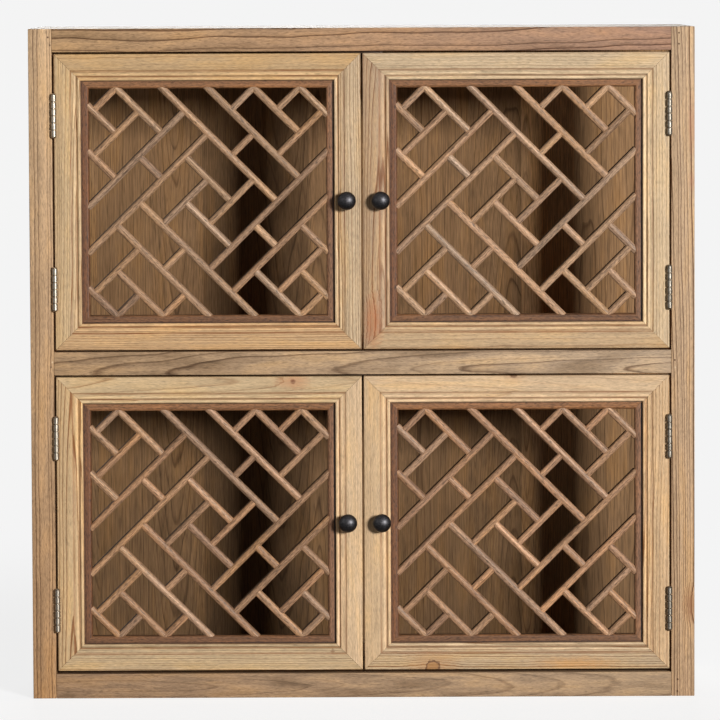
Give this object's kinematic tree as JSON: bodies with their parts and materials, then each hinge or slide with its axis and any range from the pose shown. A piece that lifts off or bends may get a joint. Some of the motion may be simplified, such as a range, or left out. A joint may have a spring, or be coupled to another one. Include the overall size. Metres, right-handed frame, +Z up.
{
  "type": "display cabinet",
  "caption": "Free-standing pine display cabinet with inset doors on butt hinges, each a mitred moulded frame holding a diagonal lattice grille, glass sides, and an upper and a lower compartment.",
  "frame": {"origin": "on the floor, under the middle of the whole object from side to side and from the knobs to the back", "axes": "+Z up, +Y from the doors towards the back, +X to the right of someone facing the doors"},
  "size_m": [1, 0.4064, 1.011],
  "materials": {
    "frame_pine": "weathered pine, waxed",
    "side_pine": "weathered pine, waxed",
    "door_pine": "honey pine, waxed",
    "lattice_wood": "red-brown stained wood",
    "inner_pine": "stained pine",
    "back_pine": "stained pine boards",
    "side_glass": "clear sheet glass",
    "hinge_nickel": "aged nickel plate",
    "knob_iron": "blackened",
    "catch_plastic": "moulded brown",
    "strike_steel": "zinc plated"
  },
  "bodies": {
    "carcass": {"left_side_rail": "side_pine", "right_side_rail": "side_pine", "left_side_glass": "side_glass", "right_side_glass": "side_glass", "top_panel": "side_pine", "middle_shelf": "inner_pine", "bottom_panel": "inner_pine", "back_panel": "back_pine", "left_stile": "frame_pine", "right_stile": "frame_pine", "top_rail": "frame_pine", "middle_rail": "frame_pine", "bottom_rail": "frame_pine", "upper_left_top_hinge_frame_leaf": "hinge_nickel", "upper_left_bottom_hinge_frame_leaf": "hinge_nickel", "upper_right_top_hinge_frame_leaf": "hinge_nickel", "upper_right_bottom_hinge_frame_leaf": "hinge_nickel", "lower_left_top_hinge_frame_leaf": "hinge_nickel", "lower_left_bottom_hinge_frame_leaf": "hinge_nickel", "lower_right_top_hinge_frame_leaf": "hinge_nickel", "lower_right_bottom_hinge_frame_leaf": "hinge_nickel", "upper_catch": "catch_plastic", "lower_catch": "catch_plastic"},
    "upper_left_door": {"upper_left_door_top_rail": "door_pine", "upper_left_door_bottom_rail": "door_pine", "upper_left_door_hinge_stile": "door_pine", "upper_left_door_knob_stile": "door_pine", "upper_left_lattice": "lattice_wood", "upper_left_knob": "knob_iron", "upper_left_top_hinge_door_leaf": "hinge_nickel", "upper_left_bottom_hinge_door_leaf": "hinge_nickel", "upper_left_strike_plate": "strike_steel"},
    "upper_right_door": {"upper_right_door_top_rail": "door_pine", "upper_right_door_bottom_rail": "door_pine", "upper_right_door_hinge_stile": "door_pine", "upper_right_door_knob_stile": "door_pine", "upper_right_lattice": "lattice_wood", "upper_right_knob": "knob_iron", "upper_right_top_hinge_door_leaf": "hinge_nickel", "upper_right_bottom_hinge_door_leaf": "hinge_nickel", "upper_right_strike_plate": "strike_steel"},
    "lower_left_door": {"lower_left_door_top_rail": "door_pine", "lower_left_door_bottom_rail": "door_pine", "lower_left_door_hinge_stile": "door_pine", "lower_left_door_knob_stile": "door_pine", "lower_left_lattice": "lattice_wood", "lower_left_knob": "knob_iron", "lower_left_top_hinge_door_leaf": "hinge_nickel", "lower_left_bottom_hinge_door_leaf": "hinge_nickel", "lower_left_strike_plate": "strike_steel"},
    "lower_right_door": {"lower_right_door_top_rail": "door_pine", "lower_right_door_bottom_rail": "door_pine", "lower_right_door_hinge_stile": "door_pine", "lower_right_door_knob_stile": "door_pine", "lower_right_lattice": "lattice_wood", "lower_right_knob": "knob_iron", "lower_right_top_hinge_door_leaf": "hinge_nickel", "lower_right_bottom_hinge_door_leaf": "hinge_nickel", "lower_right_strike_plate": "strike_steel"}
  },
  "joints": [
    {"name": "upper_left_door_swing", "type": "hinge", "parent": "carcass", "child": "upper_left_door", "pos_m": [-0.462, -0.18135, 0.7505], "axis": [0, 0, -1], "range_deg": [0, 180]},
    {"name": "upper_right_door_swing", "type": "hinge", "parent": "carcass", "child": "upper_right_door", "pos_m": [0.462, -0.18135, 0.7505], "axis": [0, 0, 1], "range_deg": [0, 180]},
    {"name": "lower_left_door_swing", "type": "hinge", "parent": "carcass", "child": "lower_left_door", "pos_m": [-0.462, -0.18135, 0.2645], "axis": [0, 0, -1], "range_deg": [0, 180]},
    {"name": "lower_right_door_swing", "type": "hinge", "parent": "carcass", "child": "lower_right_door", "pos_m": [0.462, -0.18135, 0.2645], "axis": [0, 0, 1], "range_deg": [0, 180]}
  ]
}
